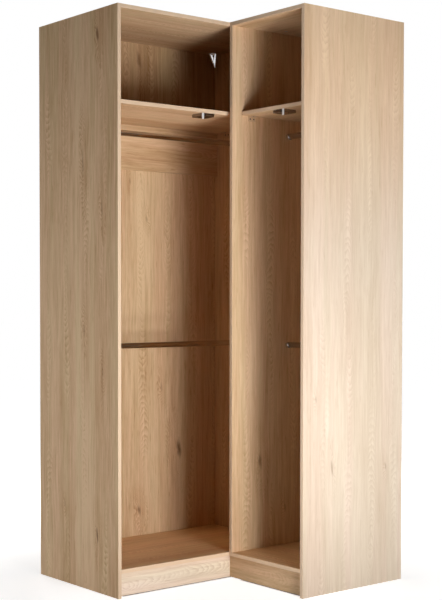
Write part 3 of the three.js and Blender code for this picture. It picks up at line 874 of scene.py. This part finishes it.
def add_shelf_brackets():
    angle = None
    for unit in UNIT_FRAMES:
        for side in ("near", "far"):
            for end in ("front", "rear"):
                node = f"{unit}_shelf_bracket_{side}_{end}"
                low, high = box_in_unit(unit, node)
                leg = (high.z - low.z) / MM
                angle = angle or bracket_mesh((high.y - low.y) / MM, leg)
                place = on_side(unit, side, low, high, high.z)
                add_piece(node + "_angle", angle, place, node)
                middle = (leg + BRACKET_SHEET) / 2
                for number, way in enumerate((-1, 1), start=1):
                    name, y = f"{node}_screw_{number}", way * BRACKET_PITCH / 2
                    add_screw(name, place, BRACKET_SHEET, y, -middle, 90, "Y")
                add_screw(node + "_screw_3", place, middle, 0, -BRACKET_SHEET, 180, "X")


# Door catches

CATCH_SHEET = 2.0
CATCH_CORNER = 5.0
CATCH_EDGE = 0.3
CATCH_HOLE_INSET = 13.0
TONGUE_WIDTH, TONGUE_SHEET, TONGUE_CORNER = 10.0, 3.0, 2.0
TONGUE_BELOW = 0.1              # faces this far under the plate are the tongue's
CASE_EDGE, CASE_EDGE_STEPS = 1.5, 4
WINDOW_WIDTH, WINDOW_HEIGHT, WINDOW_DEPTH = 10.0, 6.0, 4.0
WINDOW_CORNER = 0.8
WINDOW_NEAR = 0.5               # how close to the window's front and back its faces are looked for


def catch_plate_mesh(name, size, drop, start):
    """The plate, drawn down from the shelf, with its tongue folded down from the front edge."""
    sheet = prism(soft_rectangle(0, 0, size, size, CATCH_CORNER), -CATCH_SHEET, 0)
    end, tip = start + TONGUE_WIDTH, TONGUE_CORNER - drop
    outline = [(start, 0)] + arc(start + TONGUE_CORNER, tip, TONGUE_CORNER, 5, 180, 90) + arc(
        end - TONGUE_CORNER, tip, TONGUE_CORNER, 5, 270, 90) + [(end, 0)]
    tongue = turned(prism(outline, -TONGUE_SHEET, 0), (90, "X"))
    rows = (CATCH_HOLE_INSET, size - CATCH_HOLE_INSET)
    holes = [prism(disc(x, y, SCREW_HOLE / 2), -CATCH_SHEET - OVERRUN, OVERRUN) for x in rows for y in rows]
    mesh = finished(shaped(sheet, added=[tongue], cut=holes), name, FITTING_CHROME, edge=CATCH_EDGE)
    mesh.materials.append(SATIN_STEEL)
    for face in mesh.polygons:
        if face.center.z < -(CATCH_SHEET + TONGUE_BELOW) * MM:
            face.material_index = 1
    return mesh


def catch_case_mesh(name, width, depth, height, start):
    """The case, drawn up from its underside, with the window beside the tongue, whose recess is painted black
    as shade.
    """
    case = prism(soft_rectangle(0, 0, width, depth, CATCH_CORNER), 0, height)
    rim = [line for line in case.edges if abs(line.verts[0].co.z - line.verts[1].co.z) < WELD]
    bmesh.ops.bevel(case, geom=rim, offset=CASE_EDGE, segments=CASE_EDGE_STEPS, profile=0.5, affect="EDGES",
                    clamp_overlap=True)
    end, low = start + WINDOW_WIDTH, (height - WINDOW_HEIGHT) / 2
    top = low + WINDOW_HEIGHT
    window = prism(soft_rectangle(start, low, end, top, WINDOW_CORNER), -WINDOW_DEPTH, LONG_OVERRUN)
    mesh = finished(shaped(case, cut=[turned(window, (90, "X"))]), name, DARK_CHROME)
    # the faces inside the window's recess are painted black: painted shade in the recess
    mesh.materials.append(WINDOW_PAINTED_SHADE)
    near, deep = WINDOW_NEAR * MM, (WINDOW_DEPTH + WINDOW_NEAR) * MM
    for face in mesh.polygons:
        x, y, z = face.center
        if start * MM <= x <= end * MM and low * MM <= z <= top * MM and near < y < deep:
            face.material_index = 1
    return mesh


def add_catches():
    for unit in UNIT_FRAMES:
        plate, case = f"{unit}_catch_plate", f"{unit}_catch_housing"
        low, high = box_in_unit(unit, plate)
        size, drop = round((high.x - low.x) / MM, 3), round((high.z - low.z) / MM, 3)
        last = unit == "right"      # the right unit's tongue is at the far end of the plate
        start = size - TONGUE_WIDTH if last else 0
        place = UNIT_FRAMES[unit] @ Matrix.Translation((low.x, low.y, high.z))
        mesh = catch_plate_mesh(plate, size, drop, start)
        add_piece(plate + "_sheet", mesh, place, plate)
        low, high = box_in_unit(unit, case)
        width, depth, height = (high - low) / MM
        start = TONGUE_WIDTH + CASE_EDGE
        if last:
            start = width - start - WINDOW_WIDTH
        place = UNIT_FRAMES[unit] @ Matrix.Translation(low)
        mesh = catch_case_mesh(case, width, depth, height, start)
        add_piece(case + "_case", mesh, place, case)


# Corner brackets under the tops

TAB_SHEET = 1.5
TAB_WIDTH, TAB_DROP, TAB_LEAN = 34.0, 66.0, 11.5
TAB_TIP, TAB_TIP_RADIUS = 28.0, 1.9     # how far along the fold the tab's rounded tip hangs
TAB_HOLE, TAB_HOLE_RADIUS = (22.0, -12.0), 3.0
FLANGE_DEPTH, FLANGE_CORNER, FLANGE_EDGE = 18.0, 1.0, 0.25


def corner_bracket_mesh():
    """The fold runs along x from the origin. The tab hangs from it and leans back under the flange."""
    tip = arc(TAB_TIP, TAB_TIP_RADIUS - TAB_DROP, TAB_TIP_RADIUS, 8, 200, 140)
    tab = prism([(0, 0), *tip, (TAB_WIDTH, 0)], 0, TAB_SHEET)
    tab = shaped(tab, cut=[prism(disc(*TAB_HOLE, TAB_HOLE_RADIUS), -OVERRUN, TAB_SHEET + OVERRUN)])
    tab = turned(tab, (90 + TAB_LEAN, "X"))
    flange = prism(soft_rectangle(0, -TAB_SHEET, TAB_WIDTH, FLANGE_DEPTH, FLANGE_CORNER), -TAB_SHEET, 0)
    hole = prism(disc(TAB_WIDTH / 2, FLANGE_DEPTH / 2, SCREW_HOLE / 2), -TAB_SHEET - OVERRUN, OVERRUN)
    form = shaped(flange, added=[tab], cut=[hole])
    return finished(form, "corner_bracket", FITTING_CHROME, edge=FLANGE_EDGE)


def in_mirror(mesh, name):
    """The same form seen in a mirror across its own x."""
    bm = bmesh.new()
    bm.from_mesh(mesh)
    bmesh.ops.scale(bm, vec=(-1, 1, 1), verts=bm.verts[:])
    bmesh.ops.reverse_faces(bm, faces=bm.faces[:])
    other = bpy.data.meshes.new(name)
    bm.to_mesh(other)
    bm.free()
    other.set_sharp_from_angle(angle=FOLD)
    other.materials.append(mesh.materials[0])
    return other


def add_corner_brackets():
    slanted = math.sqrt(0.5)        # what shows along x and y of a length at 45 degrees
    bracket = corner_bracket_mesh()
    meshes = {"far": bracket, "near": in_mirror(bracket, "corner_bracket_mirrored")}
    for unit in UNIT_FRAMES:
        for side, way in (("far", 1), ("near", -1)):
            node = f"{unit}_corner_bracket_{side}"
            low, high = box_in_unit(unit, node)
            edge = low.x if side == "far" else high.x
            x = edge + way * TAB_SHEET * MM * slanted
            y = high.y - FLANGE_DEPTH * MM * slanted
            turn = Matrix.Rotation(math.radians(-45 * way), 4, "Z")
            place = UNIT_FRAMES[unit] @ Matrix.Translation((x, y, high.z)) @ turn
            add_piece(node + "_plate", meshes[side], place, node)
            add_screw(node + "_screw", place, way * TAB_WIDTH / 2, FLANGE_DEPTH / 2, -TAB_SHEET, 180, "X")


# Cam fittings

CAM_EDGE, CAM_CROSS_EDGE = 0.5, 0.12
CAM_RIM, CAM_RIM_FLAT = 1.6, 1.4        # the raised rim's width at the dished face and at its top
CAM_DISH = 0.3
CAM_ARM, CAM_BAR, CAM_RECESS = 5.5, 1.0, 3.0


def cam_mesh(radius, height):
    """A cast drum with a broken rim and a crossed recess in its lower face."""
    drum = lathe([(0, CAM_DISH), (radius - CAM_RIM, CAM_DISH), (radius - CAM_RIM_FLAT, 0),
                  (radius - CAM_EDGE, 0), (radius, CAM_EDGE), (radius, height), (0, height)], steps=64)
    recess = prism(cross_outline(CAM_ARM, CAM_BAR), -OVERRUN, CAM_RECESS)
    return finished(shaped(drum, cut=[recess]), "cam", CAM_ZINC, edge=CAM_CROSS_EDGE)


def add_cams():
    drum = None
    for unit in UNIT_FRAMES:
        for side in ("near", "far"):
            for end in ("front", "rear"):
                node = f"{unit}_cam_{side}_{end}"
                low, high = box_in_unit(unit, node)
                drum = drum or cam_mesh((high.x - low.x) / 2 / MM, (high.z - low.z) / MM)
                middle = ((low.x + high.x) / 2, (low.y + high.y) / 2, low.z)
                place = UNIT_FRAMES[unit] @ Matrix.Translation(middle)
                add_piece(node + "_drum", drum, place, node)


add_rails()
add_shelf_brackets()
add_catches()
add_corner_brackets()
add_cams()


# Studio. Lengths are in metres.

FLOOR_HALF = 40.0
FLOOR_GREY = (0.72, 0.72, 0.72, 1)
FLOOR_ROUGHNESS = 0.7
WHITE = (1, 1, 1, 1)
FRONT_SHADE, SIDE_SHADE = 0.24, 0.40    # how grey the floor is in front of the plinths and beside the sides
FRONT_UP_TO, SIDE_FROM = 0.6, 1.1       # how far from the corner's middle line these lie
SHADE_UP_TO, SHADE_GONE = 0.8, 1.8      # how far from the middle of the wardrobe the shade reaches
ROOM_MIRRORED = 0.12                    # how bright the room is in the metal


def seen_or_mirrored(tree):
    """1 for what is looked at, also in a mirror or through glass, and 0 for light that falls on things."""
    path = put(tree, "ShaderNodeLightPath").outputs
    mirrored = figure(tree, "MAXIMUM", path["Is Glossy Ray"], path["Is Transmission Ray"])
    return figure(tree, "MAXIMUM", path["Is Camera Ray"], mirrored)


def under(tree, point, low, high):
    """1 on the floor between two corners, and 0 elsewhere."""
    share = 1.0
    for axis, start, end in (("X", low.x, high.x), ("Y", low.y, high.y)):
        middle, half = (start + end) / 2, (end - start) / 2
        off = figure(tree, "ABSOLUTE", figure(tree, "SUBTRACT", point[axis], middle))
        share = figure(tree, "MULTIPLY", figure(tree, "LESS_THAN", off, half), share)
    return share


def floor_white(tree):
    """How white the floor is: softly shaded beside and before the wardrobe, and dark under its plinths."""
    place = object_point(tree)
    point = parts_of(tree, place)
    far = vector_measure(tree, "LENGTH", place)
    aside = figure(tree, "ABSOLUTE", figure(tree, "ADD", point["X"], point["Y"]))
    shade = remap(tree, aside, FRONT_UP_TO, SIDE_FROM, FRONT_SHADE, SIDE_SHADE, smooth=True)
    shade = figure(tree, "MULTIPLY", shade, remap(tree, far, SHADE_GONE, SHADE_UP_TO, smooth=True))
    dark = 0.0
    for unit in ("left", "right"):
        low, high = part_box(unit + "_floor_panel")
        inset = Vector((PLINTH_SETBACK, PLINTH_SETBACK, 0))
        dark = figure(tree, "MAXIMUM", under(tree, point, low + inset, high - inset), dark)
    white, lit = (figure(tree, "SUBTRACT", 1.0, share) for share in (shade, dark))
    return figure(tree, "MULTIPLY", white, lit)


def studio_floor():
    """A white floor that fades into the background away from the wardrobe."""
    mesh = bpy.data.meshes.new("studio_floor")
    corners = [(x * FLOOR_HALF, y * FLOOR_HALF, 0) for x, y in ((-1, -1), (1, -1), (1, 1), (-1, 1))]
    mesh.from_pydata(corners, [], [(0, 1, 2, 3)])
    floor = bpy.data.objects.new("studio_floor", mesh)
    bpy.context.scene.collection.objects.link(floor)
    material, tree, shader = new_material("White studio floor")
    shader["Base Color"].default_value = FLOOR_GREY
    shader["Roughness"].default_value = FLOOR_ROUGHNESS
    shader["Specular IOR Level"].default_value = 0.0
    shader["Emission Color"].default_value = WHITE
    glow = figure(tree, "MULTIPLY", seen_or_mirrored(tree), floor_white(tree))
    tree.links.new(glow, shader["Emission Strength"])
    mesh.materials.append(material)


def studio_world():
    """White where it is seen, a dim room where it is mirrored, and no light on things."""
    world = bpy.data.worlds.new("Studio")
    bpy.context.scene.world = world
    world.use_nodes = True
    tree = world.node_tree
    sky = tree.nodes["Background"]
    sky.inputs["Color"].default_value = WHITE
    path = put(tree, "ShaderNodeLightPath").outputs
    seen = figure(tree, "MAXIMUM", path["Is Camera Ray"], path["Is Transmission Ray"])
    mirrored = figure(tree, "MULTIPLY", path["Is Glossy Ray"], ROOM_MIRRORED)
    tree.links.new(figure(tree, "MAXIMUM", seen, mirrored), sky.inputs["Strength"])


LAMPS = [
    # name, place and aim as (x from the inner corner, y, z), width, height, watts
    ("Key", (3.11, -0.76, 0.55), (-0.1, -0.05, 0.6), 0.9, 1.05, 54.0),
    ("Tall key", (3.18, -0.39, 0.72), (-0.1, -0.05, 0.8), 1.2, 1.3, 24.0),
    ("Floor glow", (1.8, -0.4, 0.02), (1.8, -0.4, 1.0), 1.0, 1.0, 28.0),
    ("Left fill", (-0.4, -3.5, 0.8), (-0.3, -0.6, 0.8), 1.2, 1.6, 35.0),
    ("Rear left", (-3.6, 0.2, 2.3), (-0.6, 0.1, 1.3), 1.6, 1.6, 60.0),
    ("Rear right", (0.4, 3.8, 2.3), (0.1, 0.6, 1.3), 1.6, 1.6, 60.0),
    ("Over the tops", (-0.25, 0.2, 3.3), (-0.25, 0.201, 2.36), 0.4, 0.4, 9.5),
]


def add_aimed(name, data, place, ahead):
    """Stands a lamp or the camera at a place, looking along ahead."""
    made = bpy.data.objects.new(name, data)
    made.location = place
    made.rotation_euler = ahead.to_track_quat("-Z", "Y").to_euler()
    bpy.context.scene.collection.objects.link(made)
    return made


def add_lamps():
    for name, place, aim, width, height, watts in LAMPS:
        lamp = bpy.data.lights.new(name, "AREA")
        lamp.shape = "RECTANGLE"
        lamp.size = width
        lamp.size_y = height
        lamp.energy = watts
        place, aim = [Vector((CORNER_X + x, y, z)) for x, y, z in (place, aim)]
        add_aimed(name, lamp, place, aim - place).visible_camera = False


# The photograph's camera, worked out from the wardrobe's edges in it
CAMERA_SENSOR, CAMERA_LENS = 36.0, 75.48        # in millimetres
CAMERA_SHIFT = (0.0712, 0.0575)
CAMERA_FROM_CORNER = (4.0592, -3.4707, 1.2123)
CAMERA_YAW, CAMERA_PITCH = 38.20, -1.80
CAMERA_SEES = 100.0


def photo_camera():
    camera = bpy.data.cameras.new("Camera")
    camera.sensor_width = CAMERA_SENSOR
    camera.lens = CAMERA_LENS
    camera.shift_x, camera.shift_y = CAMERA_SHIFT
    camera.clip_end = CAMERA_SEES
    x, y, z = CAMERA_FROM_CORNER
    yaw, pitch = math.radians(CAMERA_YAW), math.radians(CAMERA_PITCH)
    ahead = Vector((-math.cos(yaw) * math.cos(pitch), math.sin(yaw) * math.cos(pitch), math.sin(pitch)))
    bpy.context.scene.camera = add_aimed("Camera", camera, (x + CORNER_X, y + FRONT_Y, z), ahead)


studio_floor()
studio_world()
add_lamps()
photo_camera()
bpy.context.scene.view_settings.view_transform = "Standard"
